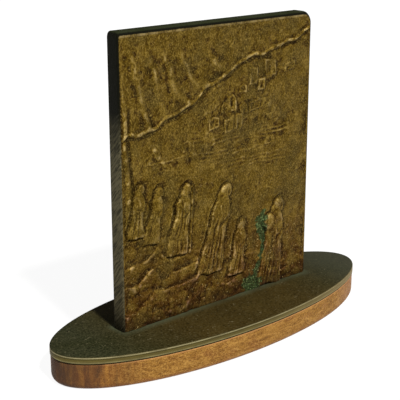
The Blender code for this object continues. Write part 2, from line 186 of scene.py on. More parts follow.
def tan_wood():
    """Golden tan hardwood: streaks and short pores along the grain, dark end grain with painted shade at the
    left end, darkest at its tip.
    """
    finish, tree, shader = new_finish("tan hardwood")
    place = place_on(tree)
    along, _, height = add(tree, "ShaderNodeSeparateXYZ", {0: place}).outputs
    streaks = noise(tree, place_on(tree, (6.0, 1.0, 1.0)), 0.0014, 5.0, 0.66, 0.4)
    pores = noise(tree, place_on(tree, (2.0, 1.0, 1.0)), 0.00047, 3.0, 0.65)
    blotches = noise(tree, place_on(tree, (1.3, 1.0, 0.9)), 0.0085, 4.0, 0.62, 0.5)
    colour = ramp(tree, streaks, *STREAK_COLOURS)
    colour = mix(tree, ramp(tree, blotches, (0.50, 0.0), (0.66, 0.60)), colour, RED_BLOTCH)
    colour = mix(tree, ramp(tree, pores, (0.53, 0.0), (0.66, 0.85)), colour, DARK_PORE)
    colour = mix(tree, ramp(tree, pores, (0.34, 0.60), (0.47, 0.0)), colour, LIGHT_PORE)
    foot = fade(tree, height, WOOD_FOOT_ROUNDING, 0.0008, 0.55)
    colour = mix(tree, foot, colour, RED_FOOT)
    arris = fade(tree, height, WOOD_HIGH.z - 0.0009, WOOD_HIGH.z - 0.0003, 0.7)
    colour = mix(tree, arris, colour, LIGHT_ARRIS)
    # The left end is darkened as end grain and painted shade, and its tip with more painted shade
    bands = noise(tree, place_on(tree, (1.0, 1.0, 5.0)), 0.0034, 4.0, 0.62, 0.5)
    stained = math_node(tree, "MULTIPLY", fade(tree, along, *LEFT_GRAIN_AND_SHADE),
                        ramp(tree, bands, (0.35, 0.90), (0.66, 0.55)))
    colour = mix(tree, stained, colour, ramp(tree, bands, *END_GRAIN_AND_SHADE_COLOURS))
    tip_shade = math_node(tree, "MULTIPLY", fade(tree, along, *LEFT_TIP, 0.9),
                     ramp(tree, blotches, (0.38, 1.0), (0.62, 0.55)))
    colour = mix(tree, tip_shade, colour, PAINTED_SHADE_AT_TIP)
    colour = mix(tree, fade(tree, along, *RIGHT_STAIN, 0.75), colour, PINK_TAN)
    tree.links.new(colour, shader.inputs["Base Color"])
    tree.links.new(ramp(tree, streaks, (0.3, 0.66), (0.7, 0.50)), shader.inputs["Roughness"])
    shader.inputs["Specular IOR Level"].default_value = 0.1
    dents = math_node(tree, "SUBTRACT", streaks, ramp(tree, pores, (0.52, 0.0), (0.66, 0.7)))
    bump = add(tree, "ShaderNodeBump", {"Height": dents, "Strength": 0.35, "Distance": 0.0003})
    tree.links.new(bump.outputs[0], shader.inputs["Normal"])
    return finish


wood_height = WOOD_HIGH.z - WOOD_LOW.z
wood_profile = rounded(WOOD_FOOT_ROUNDING, 6)
for inset, rise in reversed(rounded(WOOD_TOP_ROUNDING, 3)):
    wood_profile.append((inset, wood_height - rise))
board = oval_board("oval_wooden_board", WOOD_LOW, WOOD_HIGH, wood_profile)
board.data.materials.append(tan_wood())
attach(board, "root")
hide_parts("wooden_base")


# Bronze plate
# A flat oval of bronze sheet with a dark olive patina on top and a rubbed, brassy sawn edge.
# It lies on the wood, probably screwed to it from below, and is engraved in front of the slab.

PLATE_LOW, PLATE_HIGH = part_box("base_plate")
PLATE_CHAMFER = 0.0004
STROKE_ROWS = 3
STROKES_IN_ROW = 13
STROKE_SPACING = 0.0021
ROW_SPACING = 0.0032
STROKE_LENGTH = 0.0019
STROKE_DEPTH = 0.00022
STROKE_SLANT = 0.9
SHORTEST_STROKE = 0.55
STROKES_CUT = 0.84
INSCRIPTION_PLACE = (-0.0130, -0.0185)
_, SLAB_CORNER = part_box("relief_slab")

# Colours of the patina on the flat faces, brown in the middle of the oval and green towards its ends
BROWN_PATINA = ((0.32, (0.040, 0.027, 0.006)), (0.66, (0.062, 0.042, 0.010)))
GREEN_PATINA = ((0.32, (0.026, 0.029, 0.010)), (0.66, (0.040, 0.042, 0.019)))
GREEN_ENDS = (0.035, 0.080)
DARK_GRAIN = (0.008, 0.007, 0.002)
LIGHT_GRAIN = (0.120, 0.104, 0.050)
PALE_SPECK = (0.22, 0.19, 0.11)
GREY_PATINA = (0.088, 0.086, 0.062)
GREEN_BESIDE_SLAB = (0.080, 0.090, 0.050)

# Colours up the plate's edge, from the dark line at its foot to its bright rim
EDGE_COLOURS = (
    (0.08, (0.006, 0.005, 0.002)),
    (0.13, (0.25, 0.215, 0.095)),
    (0.24, (0.195, 0.160, 0.064)),
    (0.36, (0.122, 0.096, 0.028)),
    (0.60, (0.112, 0.088, 0.024)),
    (0.68, (0.030, 0.023, 0.007)),
    (0.76, (0.130, 0.108, 0.036)),
    (0.86, (0.42, 0.37, 0.20)),
    (0.95, (0.050, 0.042, 0.016)),
)
DULL_BRASS = (0.060, 0.048, 0.018)
GOLDEN_BRASS = (0.250, 0.186, 0.074)


def engraved(plate):
    """Cut rows of short slanting strokes into the plate's top, as an inscription that says nothing."""
    tree = bpy.data.node_groups.new("engraved strokes", "GeometryNodeTree")
    tree.interface.new_socket("Geometry", in_out="INPUT", socket_type="NodeSocketGeometry")
    for name, value in (("Strokes", STROKES_IN_ROW), ("Rows", STROKE_ROWS), ("Seed", 7)):
        tree.interface.new_socket(name, in_out="INPUT", socket_type="NodeSocketInt").default_value = value
    sizes = (("Spacing", STROKE_SPACING), ("Row Spacing", ROW_SPACING), ("Length", STROKE_LENGTH),
             ("Depth", STROKE_DEPTH))
    for name, value in sizes:
        tree.interface.new_socket(name, in_out="INPUT", socket_type="NodeSocketFloat").default_value = value
    tree.interface.new_socket("Material", in_out="INPUT", socket_type="NodeSocketMaterial")
    tree.interface.new_socket("Geometry", in_out="OUTPUT", socket_type="NodeSocketGeometry")
    given = add(tree, "NodeGroupInput").outputs
    across = add(tree, "ShaderNodeMath", {0: given["Spacing"], 1: given["Strokes"]}, operation="MULTIPLY")
    down = add(tree, "ShaderNodeMath", {0: given["Row Spacing"], 1: given["Rows"]}, operation="MULTIPLY")
    grid = add(tree, "GeometryNodeMeshGrid", {
        "Size X": across.outputs[0], "Size Y": down.outputs[0],
        "Vertices X": given["Strokes"], "Vertices Y": given["Rows"]})
    place = add(tree, "GeometryNodeTransform", {
        "Geometry": grid.outputs[0], "Translation": (*INSCRIPTION_PLACE, PLATE_HIGH.z)})
    chosen = add(tree, "FunctionNodeRandomValue", {
        "Probability": STROKES_CUT, "Seed": given["Seed"]}, data_type="BOOLEAN")
    points = add(tree, "GeometryNodeMeshToPoints", {"Mesh": place.outputs[0], "Selection": chosen.outputs[3]})
    turn = add(tree, "FunctionNodeRandomValue", {
        0: (0.0, 0.0, -STROKE_SLANT), 1: (0.0, 0.0, STROKE_SLANT), "Seed": given["Seed"]},
        data_type="FLOAT_VECTOR")
    cutter = add(tree, "GeometryNodeMeshUVSphere", {"Segments": 12, "Rings": 8, "Radius": 0.5})
    depth = add(tree, "ShaderNodeMath", {0: given["Depth"], 1: 2.0}, operation="MULTIPLY")
    size = add(tree, "ShaderNodeCombineXYZ", {0: depth.outputs[0], 1: given["Length"], 2: depth.outputs[0]})
    shrink = add(tree, "FunctionNodeRandomValue", {
        2: SHORTEST_STROKE, 3: 1.0, "Seed": given["Seed"]}, data_type="FLOAT")
    scale = add(tree, "ShaderNodeVectorMath", {
        0: size.outputs[0], "Scale": shrink.outputs[1]}, operation="SCALE")
    strokes = add(tree, "GeometryNodeInstanceOnPoints", {
        "Points": points.outputs[0], "Instance": cutter.outputs[0],
        "Rotation": turn.outputs[0], "Scale": scale.outputs[0]})
    solid = add(tree, "GeometryNodeRealizeInstances", {0: strokes.outputs[0]})
    cut = add(tree, "GeometryNodeMeshBoolean", {"Mesh 1": given["Geometry"], "Mesh 2": solid.outputs[0]},
              operation="DIFFERENCE", solver="EXACT")
    realized = add(tree, "GeometryNodeRealizeInstances", {0: cut.outputs[0]})
    painted = add(tree, "GeometryNodeSetMaterial", {
        "Geometry": realized.outputs[0], "Material": given["Material"]})
    add(tree, "NodeGroupOutput", {0: painted.outputs[0]})
    return as_plain_mesh(plate, tree)


def as_plain_mesh(piece, tree):
    """Run a node tree on a piece and keep the result as its plain mesh."""
    modifier = piece.modifiers.new(tree.name, "NODES")
    modifier.node_group = tree
    for socket in tree.interface.items_tree:
        if socket.item_type == "SOCKET" and socket.in_out == "INPUT" and socket.name == "Material":
            modifier[socket.identifier] = piece.data.materials[0]
    evaluated = piece.evaluated_get(bpy.context.evaluated_depsgraph_get())
    mesh = bpy.data.meshes.new_from_object(evaluated)
    piece.modifiers.remove(modifier)
    piece.data = mesh
    return piece


def dark_bronze():
    """Dark olive patina on the flat faces, stained along the slab's foot and worn to brass on the edge."""
    finish, tree, shader = new_finish("dark olive bronze")
    place = place_on(tree)
    along, depth, height = add(tree, "ShaderNodeSeparateXYZ", {0: place}).outputs
    clouds = noise(tree, place, 0.018, 4.0, 0.6, 0.3)
    grain = noise(tree, place, 0.0010, 4.0, 0.68)
    specks = noise(tree, place, 0.0016, 3.0, 0.6)
    from_middle = math_node(tree, "ABSOLUTE", along)
    brown, green = ramp(tree, clouds, *BROWN_PATINA), ramp(tree, clouds, *GREEN_PATINA)
    patina = mix(tree, fade(tree, from_middle, *GREEN_ENDS), brown, green)
    patina = mix(tree, ramp(tree, grain, (0.34, 0.90), (0.47, 0.0)), patina, DARK_GRAIN)
    patina = mix(tree, ramp(tree, grain, (0.52, 0.0), (0.68, 0.50)), patina, LIGHT_GRAIN)
    patina = mix(tree, ramp(tree, specks, (0.65, 0.0), (0.71, 0.6)), patina, PALE_SPECK)
    patina = mix(tree, fade(tree, along, 0.056, 0.092, 0.45), patina, GREY_PATINA)
    from_slab = math_node(tree, "SUBTRACT", math_node(tree, "ABSOLUTE", depth), SLAB_CORNER.y)
    near_slab = math_node(tree, "MULTIPLY", fade(tree, from_slab, 0.0050, 0.0005),
                          fade(tree, from_middle, SLAB_CORNER.x + 0.003, SLAB_CORNER.x))
    beside = math_node(tree, "MULTIPLY", near_slab, ramp(tree, clouds, (0.35, 0.30), (0.60, 0.85)))
    patina = mix(tree, beside, patina, GREEN_BESIDE_SLAB)
    top = PLATE_HIGH.z
    band = fade(tree, height, PLATE_LOW.z, top)
    brass = ramp(tree, band, *EDGE_COLOURS)
    dulled = noise(tree, place_on(tree, (3.0, 3.0, 0.6)), 0.0030, 4.0, 0.6)
    brass = mix(tree, ramp(tree, dulled, (0.38, 0.50), (0.60, 0.0)), brass, DULL_BRASS)
    right_end = math_node(tree, "MULTIPLY", fade(tree, along, -0.010, 0.092, 0.75),
                          fade(tree, band, 0.06, 0.12))
    brass = mix(tree, right_end, brass, GOLDEN_BRASS)
    side = fade(tree, height, top - 0.00002, top - 0.00010)
    tree.links.new(mix(tree, side, patina, brass), shader.inputs["Base Color"])
    edge_metal = math_node(tree, "MULTIPLY", side, 0.35)
    tree.links.new(math_node(tree, "ADD", edge_metal, 0.25), shader.inputs["Metallic"])
    tree.links.new(ramp(tree, grain, (0.3, 0.50), (0.7, 0.64)), shader.inputs["Roughness"])
    shader.inputs["Specular IOR Level"].default_value = 0.05
    bump = add(tree, "ShaderNodeBump", {"Height": grain, "Strength": 0.40, "Distance": 0.0003})
    tree.links.new(bump.outputs[0], shader.inputs["Normal"])
    return finish


plate_height = PLATE_HIGH.z - PLATE_LOW.z
plate_profile = [(0.0, 0.0)]
for inset, rise in reversed(rounded(PLATE_CHAMFER, 3)):
    plate_profile.append((inset, plate_height - rise))
plate = oval_board("oval_bronze_plate", PLATE_LOW, PLATE_HIGH, plate_profile)
plate.data.materials.append(dark_bronze())
engraved(plate)
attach(plate, "root")
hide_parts("base_plate")


# Relief slab
# One bronze casting: its picture was modelled by hand, so its surface is pitted and lumpy.
# The picture is rubbed golden on its high spots and dark in its hollows, partly painted highlight and shade;
# edges and back keep a black-green patina with file marks, and the sides carry painted reflection and shade.

SLAB_LOW, SLAB_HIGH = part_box("relief_slab")
SLAB_THICKNESS = 0.008
FRONT_Y = SLAB_HIGH.y - SLAB_THICKNESS
LEFT_CORNER_RADIUS = 0.0018
RIGHT_CORNER_RADIUS = 0.0055
SIDE_EDGE_ROUNDING = 0.001
TOP_EDGE_ROUNDING = 0.002
BACK_EDGE_ROUNDING = 0.0008
PICTURE_WIDTH = SLAB_HIGH.x - SLAB_LOW.x - 2 * SIDE_EDGE_ROUNDING
PICTURE_HEIGHT = SLAB_HIGH.z - SLAB_LOW.z - TOP_EDGE_ROUNDING
LEFT_PICTURE_CORNER = LEFT_CORNER_RADIUS - SIDE_EDGE_ROUNDING
RIGHT_PICTURE_CORNER = RIGHT_CORNER_RADIUS - SIDE_EDGE_ROUNDING
RELIEF_CELL = 0.00046
ARC_STEPS = 4
CORNER_STEPS = 12

FIGURE_DEPTH = 0.0016
OUTLINE_CUT = 0.0011
LIP_HEIGHT = 0.0004
CORD_HEIGHT = 0.0008
CORD_WIDTH = 0.0009
HOUSE_DEPTH = 0.0006
RAY_DEPTH = 0.0006
FIELD_DEPTH = 0.0003
ROCK_DEPTH = 0.0015
HILL_DROP = 0.0003
ROLL_DEPTH = 0.0006
RELIEF_MARGIN = 0.0010

RIDGE_START = 0.655
RIDGE_RISE = 0.315
GROUND_START = 0.33
GROUND_FALL = 0.30
FIELD_LEVELS = (0.49, 0.61)
FIELD_COUNT = 9

# Each walker's place across and up, height and lean as shares of the picture, its robe folds and its load
WALKERS = (
    (0.062, 0.325, 0.180, 0.08, 3, ""),
    (0.135, 0.290, 0.195, 0.17, 3, ""),
    (0.265, 0.225, 0.250, 0.16, 4, "staff"),
    (0.440, 0.120, 0.320, 0.22, 5, ""),
    (0.590, 0.085, 0.205, 0.10, 3, ""),
    (0.785, 0.002, 0.335, 0.10, 5, "sack"),
)

# Each terrace of houses: its left end, its level and how many houses stand on it
TERRACES = (
    (0.30, 0.575, 2),
    (0.43, 0.635, 3),
    (0.50, 0.700, 4),
    (0.60, 0.765, 3),
    (0.74, 0.815, 2),
)

# The streak of verdigris runs down beside the last walker: places as shares of the picture, half widths
VERDIGRIS_RUN = (
    (0.742, 0.292, 0.0014),
    (0.727, 0.262, 0.0034),
    (0.733, 0.225, 0.0026),
    (0.747, 0.175, 0.0009),
    (0.725, 0.115, 0.0011),
    (0.702, 0.060, 0.0018),
    (0.674, 0.022, 0.0050),
    (0.676, 0.002, 0.0044),
)

# Bumps narrower than these two widths are told apart from the form that carries them
FINE_DETAIL = 0.0009
BROAD_DETAIL = 0.0030

# Colours of the picture from its deepest hollows to its rubbed edges, which also serve as painted shade and
# painted highlight
PICTURE_COLOURS = (
    (0.10, (0.010, 0.004, 0.001)),
    (0.34, (0.052, 0.023, 0.003)),
    (0.50, (0.118, 0.070, 0.006)),
    (0.66, (0.205, 0.130, 0.020)),
    (0.90, (0.46, 0.33, 0.12)),
)
BROWN_SMEAR = (0.048, 0.027, 0.001)
GOLDEN_SMEAR = (0.235, 0.155, 0.032)
OLIVE_CLOUD = (0.062, 0.044, 0.010)
BROWN_SPECKLE = (0.026, 0.013, 0.001)
GOLDEN_SPECKLE = (0.330, 0.230, 0.052)
RED_TINT = (0.84, 0.60, 1.0)
FOOT_GRIME = (0.026, 0.013, 0.006)
SPARKLE = (0.50, 0.37, 0.14)
BRIGHT_ARRIS = (0.40, 0.31, 0.14)

# Colours up the slab's sides, filed dull below; their lighter lower part and black top are a painted
# reflection of the pale floor
SIDE_PATINA_AND_PAINTED_REFLECTION = (
    (0.0, (0.110, 0.092, 0.048)),
    (0.72, (0.105, 0.092, 0.050)),
    (0.98, (0.006, 0.006, 0.003)),
)
# Painted shade along the foot of the sides, next to the plate
PAINTED_SHADE_AT_SIDE_FOOT = (0.008, 0.007, 0.003)
BLACK_SCRATCH = (0.006, 0.006, 0.003)
FILED_METAL = (0.15, 0.135, 0.090)

# Colours of the back and of the top face, each between two shades
BACK_COLOURS = ((0.35, (0.030, 0.030, 0.016)), (0.65, (0.064, 0.058, 0.032)))
BACK_DARK_SMEAR = (0.016, 0.015, 0.008)
BACK_LIGHT_SMEAR = (0.100, 0.086, 0.048)
BACK_SPECKLE = (0.012, 0.011, 0.006)
BACK_SCRATCH = (0.13, 0.11, 0.065)
TOP_COLOURS = ((0.35, (0.024, 0.029, 0.011)), (0.65, (0.040, 0.046, 0.022)))
TOP_SPECKLE = (0.010, 0.010, 0.004)

# Colours of the verdigris, from its dark pits to its pale flecks
VERDIGRIS_COLOURS = (
    (0.36, (0.004, 0.008, 0.003)),
    (0.50, (0.022, 0.038, 0.013)),
    (0.58, (0.048, 0.086, 0.030)),
    (0.66, (0.200, 0.270, 0.100)),
)


def ease(value):
    """0 below 0, 1 above 1 and a smooth slope between."""
    t = np.clip(value, 0.0, 1.0)
    return t * t * (3.0 - 2.0 * t)


def bead(distance, width):
    """A rounded bump of height 1."""
    return np.exp(-(distance / width) ** 2)


def waver(x, z, size, seed):
    """Smooth uneven height from -1 to 1, with swells about one size across."""
    cells = 97
    table = np.random.default_rng(seed).uniform(-1.0, 1.0, (cells, cells))
    a = (0.81 * x + 0.59 * z) / size + 31.7
    b = (0.81 * z - 0.59 * x) / size + 31.3
    i, j = np.floor(a).astype(int), np.floor(b).astype(int)
    s, t = ease(a - i), ease(b - j)
    left, right = i % cells, (i + 1) % cells
    low, high = j % cells, (j + 1) % cells
    bottom = table[left, low] * (1.0 - s) + table[right, low] * s
    top = table[left, high] * (1.0 - s) + table[right, high] * s
    return bottom * (1.0 - t) + top * t


def cobbles(x, z, size, seed):
    """Domes from 0 to 1, packed side by side, each about one size across."""
    cells = 61
    table = np.random.default_rng(seed).uniform(0.0, 1.0, (cells, cells, 3))
    i, j = np.floor(x / size).astype(int), np.floor(z / size).astype(int)
    top = np.zeros_like(x)
    for di in (-1, 0, 1):
        for dj in (-1, 0, 1):
            draw = table[(i + di) % cells, (j + dj) % cells]
            away_x = x / size - i - di - 0.15 - 0.7 * draw[..., 0]
            away_z = z / size - j - dj - 0.15 - 0.7 * draw[..., 1]
            dome = np.sqrt(np.clip(1.0 - 1.3 * (away_x ** 2 + away_z ** 2), 0.0, 1.0))
            top = np.maximum(top, dome * (0.55 + 0.45 * draw[..., 2]))
    return top


def stroke(x, z, start, end, width):
    """A rounded bead of height 1 from start to end."""
    run = np.subtract(end, start)
    t = np.clip(((x - start[0]) * run[0] + (z - start[1]) * run[1]) / (run @ run), 0.0, 1.0)
    return bead(np.hypot(x - start[0] - t * run[0], z - start[1] - t * run[1]), width)


def ridge(u):
    """Share of the picture's height where the hill meets the sky."""
    humps = 0.017 * np.sin(9.0 * u + 2.6) + 0.006 * np.sin(31.0 * u + 1.0) + 0.003 * np.sin(67.0 * u)
    return RIDGE_START + RIDGE_RISE * u + humps


def ground(u):
    """Share of the picture's height where the rocky ground starts."""
    return GROUND_START - GROUND_FALL * u + 0.018 * np.sin(11.0 * u) + 0.006 * np.sin(37.0 * u)


def sky(x, z):
    """Rays that fan down from beyond the top left corner, and soft clouds between them."""
    u, v = x / PICTURE_WIDTH, z / PICTURE_HEIGHT
    angle = np.arctan2(x + 0.10 * PICTURE_WIDTH, 1.42 * PICTURE_HEIGHT - z)
    ray = np.cos(50.0 * angle + 3.0 * waver(x, z, 0.020, 5) + 0.8 * waver(x, z, 0.006, 7))
    reach = ease((1.0 - v) / 0.16) * (1.0 - 0.8 * ease((u - 0.40) / 0.35))
    rays = (0.5 + 0.5 * ray) ** 3 * reach * (0.85 + 0.6 * waver(x, z, 0.010, 6))
    clouds = 0.35 * waver(x, z, 0.017, 15) + 0.22 * waver(x, z, 0.0075, 16)
    return RAY_DEPTH * (rays + clouds)


def houses(x, z):
    """Box houses on the terraces, flat or gabled: walls raised at their edges, cut doors, scree between."""
    total = np.zeros_like(x)
    draw = np.random.default_rng(11)
    for left, level, count in TERRACES:
        place = left * PICTURE_WIDTH
        for _ in range(count):
            wide, tall = draw.uniform(0.034, 0.066, 2) * (PICTURE_WIDTH, 0.85 * PICTURE_HEIGHT)
            foot = (level + draw.uniform(-0.018, 0.018)) * PICTURE_HEIGHT
            middle, pitch, skew = place + wide / 2, draw.choice((0.0, 0.0, 0.55)), draw.uniform(-0.18, 0.18)
            level_z = z - skew * (x - middle)
            from_side = wide / 2 - np.abs(x - middle - 0.4 * skew * (z - foot))
            inward = np.minimum(from_side, foot + tall - pitch * np.abs(x - middle) - level_z)
            inward = np.minimum(inward, level_z - foot)
            wall = 0.55 * ease(inward / 0.0008 + 0.5) + 0.6 * bead(inward - 0.0003, 0.00045)
            door, sill = place + wide * draw.uniform(0.3, 0.7), foot + tall * draw.choice((0.0, 0.35))
            opening = stroke(x, z, (door, sill), (door, sill + 0.25 * tall), 0.00065)
            opening = 0.9 * opening * ease(inward / 0.0004 + 1.0)
            total = np.maximum(total, wall * draw.uniform(0.45, 1.0)) - opening
            place = place + wide * (1.0 + draw.uniform(0.1, 1.0))
    v = z / PICTURE_HEIGHT
    loose = ease(2.6 * waver(x, z, 0.010, 13) - 0.4) * ease((v - 0.52) / 0.05)
    scree = loose * cobbles(x, z, 0.0029, 14) ** 2
    return HOUSE_DEPTH * (np.maximum(total, scree) + np.minimum(total, 0.0))


def fields(x, z):
    """Long level strokes across the foot of the hill."""
    total = np.zeros_like(x)
    draw = np.random.default_rng(23)
    u = x / PICTURE_WIDTH
    for level in np.linspace(*FIELD_LEVELS, FIELD_COUNT):
        start, length = draw.uniform(0.10, 0.60), draw.uniform(0.25, 0.55)
        drift = draw.uniform(-0.012, 0.012) * (u - 0.5)
        wave = 0.0005 * np.sin(74.0 * level + 13.5 * u)
        line = bead(z - (level + drift) * PICTURE_HEIGHT - wave, 0.00045)
        total += line * ease((u - start) / 0.05) * ease((start + length - u) / 0.05) * draw.uniform(0.5, 1.0)
    return FIELD_DEPTH * total * ease(0.8 + 1.2 * waver(x, z, 0.014, 24))


def rocks(x, z):
    """Flat rocks and ledges below the walkers' path, rougher towards the foot."""
    v = z / PICTURE_HEIGHT
    over = v - ground(x / PICTURE_WIDTH)
    heap = 0.24 * cobbles(x, 1.45 * z, 0.0082, 31) ** 1.5 + 0.24 * cobbles(x, 1.25 * z, 0.0043, 32) ** 1.5
    creases = 0.22 * np.abs(waver(x, 1.5 * z, 0.0095, 33))
    rubble = 0.42 * cobbles(x, z, 0.0023, 34) * ease((0.11 - v) / 0.07)
    rise = (z + 0.0055 * waver(x, z, 0.0125, 36)) / 0.0088 % 1.0
    ledges = 0.50 * rise * ease((1.0 - rise) / 0.14) * ease(0.15 + 2.0 * waver(x, z, 0.0080, 35))
    low = ease(-over / 0.02)
    return ROCK_DEPTH * (low * (heap + ledges - creases - 0.16) + rubble + 0.22 * bead(over, 0.010))


def rolled_edge(x, z):
    """A raised roll along the picture's left side, with a furrow beside it."""
    v = z / PICTURE_HEIGHT
    along = ease((v - 0.40) / 0.06) * ease((0.78 - v) / 0.08)
    swing = 0.0012 * np.sin(16.0 * v)
    return ROLL_DEPTH * along * (bead(x - 0.0022 - swing, 0.0013) - 1.1 * bead(x - 0.0050 - swing, 0.0010))


def walker(x, z, foot, tall, lean, folds, load):
    """A robed figure: what it covers, its raised form, and the cut and lip that set it off from the hill."""
    s = (z - foot[1]) / tall
    across = (x - foot[0]) / tall - lean * s
    taper = np.sqrt(np.clip((0.87 - s) / 0.13, 0.0, 1.0))
    back = (0.205 - 0.090 * ease(s / 0.65)) * taper
    front = (0.155 - 0.045 * ease(s / 0.50) + 0.028 * bead(s - 0.60, 0.08)) * taper
    ragged = 0.0004 * waver(x, z, 0.0030, 28)
    from_back, from_front = (across + back) * tall + ragged, (front - across) * tall
    above_hem = s + 0.030 * waver(x, 0.0 * z, 0.0034, 19) + 0.010
    standing = ease(above_hem / 0.04 + 0.5) * (s < 0.87)
    inside = ease(np.minimum(from_back, from_front) / 0.0008 + 0.4) * standing
    swell = 0.30 + 0.50 * ease((across + back) / (0.75 * (back + front) + 1e-6)) + 0.12 * ease(s / 0.8)
    robe = inside * (swell + 0.13 * waver(x, z, 0.0045, 17) + 0.05 * waver(x, z, 0.0022, 27))
    for fold in range(folds):
        share = (fold + 0.5) / folds
        hem = -0.190 + 0.33 * share + 0.010 * math.sin(7.0 * fold + 60.0 * tall)
        waist = -0.075 + 0.14 * share + 0.012 * math.sin(9.0 * fold + 40.0 * tall)
        top = 0.62 + 0.10 * math.sin(5.0 * fold + 90.0 * tall)
        line = across - hem - (waist - hem) * ease(s / 0.7) + 0.010 * waver(x, z, 0.0060, 20)
        reach = ease((top - s) / 0.12) * ease(0.70 + 0.8 * waver(x, z, 0.0075, 21))
        robe = robe + inside * reach * (0.16 * bead(line, 0.014) - 0.24 * bead(line - 0.025, 0.012))
    head_out = np.hypot((across - 0.030) / 0.080, (s - 0.905) / 0.092)
    head = 0.80 * np.sqrt(np.clip(1.0 - head_out ** 2, 0.0, 1.0)) ** 0.7
    hood = 0.20 * bead(across + 0.010, 0.030) * bead(s - 0.945, 0.035) * (head_out < 1.0)
    face = 0.30 * bead(across - 0.062, 0.020) * bead(s - 0.895, 0.030)
    veil_out = np.hypot((across + 0.006) / 0.078, (s - 0.820) / 0.130)
    neck = 0.62 * np.sqrt(np.clip(1.0 - veil_out ** 2, 0.0, 1.0))
    sleeve = stroke(across, s, (-0.015, 0.745), (0.030, 0.575), 0.034)
    forearm = stroke(across, s, (0.035, 0.570), (0.105, 0.640), 0.026)
    under_arm = stroke(across, s, (0.030, 0.520), (0.120, 0.600), 0.018)
    form = np.maximum(np.maximum(robe, head + hood - face), neck)
    form = np.maximum(form, np.maximum(0.98 * sleeve, 0.95 * forearm)) - 0.35 * under_arm * inside
    if load == "staff":
        form = np.maximum(form, 0.55 * stroke(across, s, (0.215, -0.02), (0.135, 0.93), 0.013))
    if load == "sack":
        out = np.hypot((across + 0.085) / 0.085, (s - 0.735) / 0.105)
        form = np.maximum(form, 0.95 * np.sqrt(np.clip(1.0 - out ** 2, 0.0, 1.0)))
        from_back = np.maximum(from_back, (1.0 - out) * 0.09 * tall)
    from_head = (np.minimum(head_out, veil_out) - 1.0) * 0.085 * tall
    upright = ease(s / 0.06 + 0.5) * ease((0.88 - s) / 0.05)
    broad = 0.00080 + 0.00025 * waver(x, z, 0.0040, 26)
    cut = upright * np.maximum(0.9 * bead(from_back + 0.0005, broad), 0.4 * bead(from_front + 0.0004, 0.0005))
    hem = (above_hem + 0.018) * tall
    under_hem = ease((across + 0.21) / 0.03) * ease((0.15 - across) / 0.05)
    cut = np.maximum(cut, 0.75 * bead(hem, 0.0005) * under_hem)
    behind = ease((0.045 - across) / 0.03) * ease((s - 0.80) / 0.04)
    cut = np.maximum(cut, 0.65 * bead(from_head - 0.0004, 0.0005) * behind)
    lip = upright * bead(from_back + 0.0020, 0.0007)
    lip = np.maximum(lip, 0.4 * bead(from_head - 0.0017, 0.0006) * behind)
    lip = lip * ease(0.55 + 0.9 * waver(x, z, 0.0050, 22))
    return FIGURE_DEPTH * form, OUTLINE_CUT * cut, LIP_HEIGHT * lip


def figures(x, z):
    """The walkers, who go down the slope towards the right."""
    form, cut, lip = np.zeros_like(x), np.zeros_like(x), np.zeros_like(x)
    for across, up, tall, lean, folds, load in WALKERS:
        foot = (across * PICTURE_WIDTH, up * PICTURE_HEIGHT)
        raised, groove, rim = walker(x, z, foot, tall * PICTURE_HEIGHT, lean, folds, load)
        form = np.maximum(form, raised)
        cut = np.maximum(cut, groove)
        lip = np.maximum(lip, rim)
    return form, cut, lip


def pitting(x, z):
    """The cast skin: small pits, grains and soft tool dabs all over."""
    grains = 0.00009 * cobbles(x, z, 0.0015, 41) + 0.00005 * waver(x, z, 0.0009, 42)
    return grains + 0.00010 * waver(x, z, 0.0026, 43)


def relief(x, z):
    """Height of the cast picture over the slab's front plane, and where figures cover it."""
    bent_x = x + 0.0006 * waver(x, z, 0.0075, 1) + 0.0002 * waver(x, z, 0.0021, 9)
    bent_z = z + 0.0006 * waver(x, z, 0.0075, 2) + 0.0002 * waver(x, z, 0.0021, 10)
    over = bent_z - ridge(bent_x / PICTURE_WIDTH) * PICTURE_HEIGHT
    open_sky = ease(over / 0.002 + 0.5)
    cord = bead(over, CORD_WIDTH) * (0.45 + 0.80 * cobbles(x, z, 0.0034, 3))
    shadow = bead(over + 2.0 * CORD_WIDTH, CORD_WIDTH) * (0.65 + 0.45 * waver(x, z, 0.008, 4))
    swells = HILL_DROP * (1.3 * waver(x, z, 0.012, 8) + 0.6 * waver(x, z, 0.005, 18) - 1.0)
    hill = houses(bent_x, bent_z) + fields(bent_x, bent_z) + swells
    base = open_sky * sky(bent_x, bent_z) + (1.0 - open_sky) * hill + rocks(bent_x, bent_z)
    base = base + CORD_HEIGHT * (cord - 0.75 * shadow) + rolled_edge(x, z)
    form, cut, lip = figures(bent_x, bent_z)
    covered = ease(form / (0.30 * FIGURE_DEPTH))
    surface = base * (1.0 - 0.8 * covered) + form + (lip - cut) * (1.0 - 0.8 * covered) + pitting(x, z)
    past_x = np.maximum(x - PICTURE_WIDTH + RIGHT_PICTURE_CORNER, 0.0)
    past_z = np.maximum(z - PICTURE_HEIGHT + RIGHT_PICTURE_CORNER, 0.0)
    from_edge = np.minimum(x, RIGHT_PICTURE_CORNER - np.hypot(past_x, past_z))
    return surface * ease(from_edge / RELIEF_MARGIN), covered


def verdigris(x, z):
    """Share of green crust: 1 in the middle of its streak, ragged towards its sides."""
    reach = np.full_like(x, -1.0)
    for (u, v, width), (next_u, next_v, next_width) in zip(VERDIGRIS_RUN, VERDIGRIS_RUN[1:]):
        start = np.array((u * PICTURE_WIDTH, v * PICTURE_HEIGHT))
        run = np.array((next_u * PICTURE_WIDTH, next_v * PICTURE_HEIGHT)) - start
        t = np.clip(((x - start[0]) * run[0] + (z - start[1]) * run[1]) / (run @ run), 0.0, 1.0)
        away = np.hypot(x - start[0] - t * run[0], z - start[1] - t * run[1])
        reach = np.maximum(reach, 1.0 - away / (width + t * (next_width - width)))
    return ease(0.75 + 0.9 * reach + 0.45 * waver(x, z, 0.0016, 51) + 0.25 * waver(x, z, 0.0008, 52))


